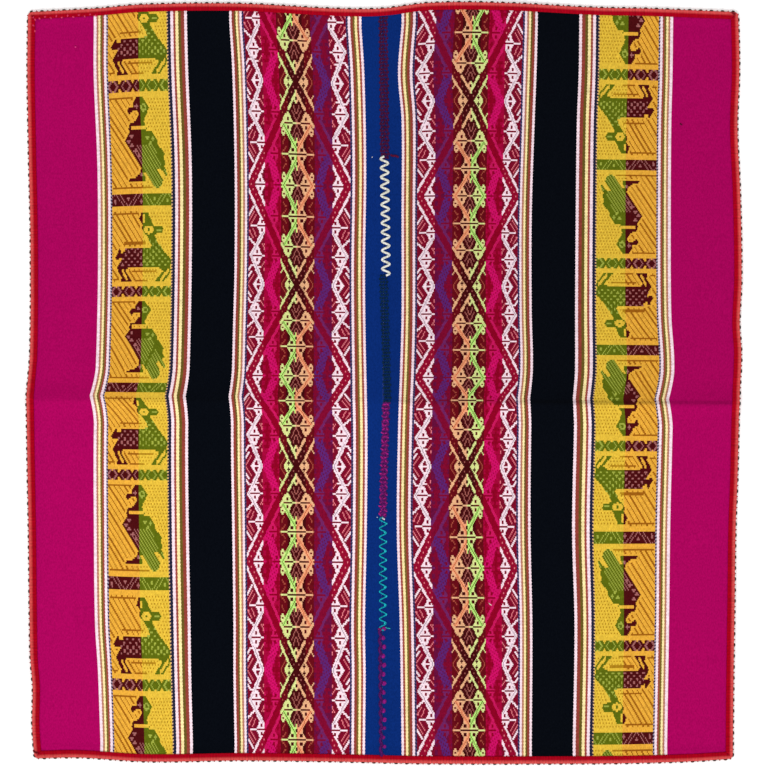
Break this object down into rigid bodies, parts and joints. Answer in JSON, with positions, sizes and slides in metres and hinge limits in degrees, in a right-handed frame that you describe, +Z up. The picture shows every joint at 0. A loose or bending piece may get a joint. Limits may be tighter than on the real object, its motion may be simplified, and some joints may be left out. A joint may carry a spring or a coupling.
{
  "type": "altar cloth",
  "caption": "Flat hand-woven altar cloth of striped and figured panels sewn edge to edge, with a narrow woven edging all round, to lie on an altar or table.",
  "frame": {"origin": "middle of the cloth's bounding box, on the plane it lies on", "axes": "+X across the stripes to the picture's right, +Y along the stripes to the picture's top, +Z up from the table"},
  "size_m": [0.6014, 0.6406, 0.008],
  "materials": {
    "woven_wool": "matt warp-faced wool cloth in magenta, black, blue, yellow and white stripes",
    "edging_yarn": "matt red woven edging with pale and dark flecks",
    "stitch_yarn": "coloured sewing yarn of the joining stitches"
  },
  "bodies": {
    "root": {"panel_left": "woven_wool", "panel_right": "woven_wool", "edging": "edging_yarn"}
  },
  "joints": []
}
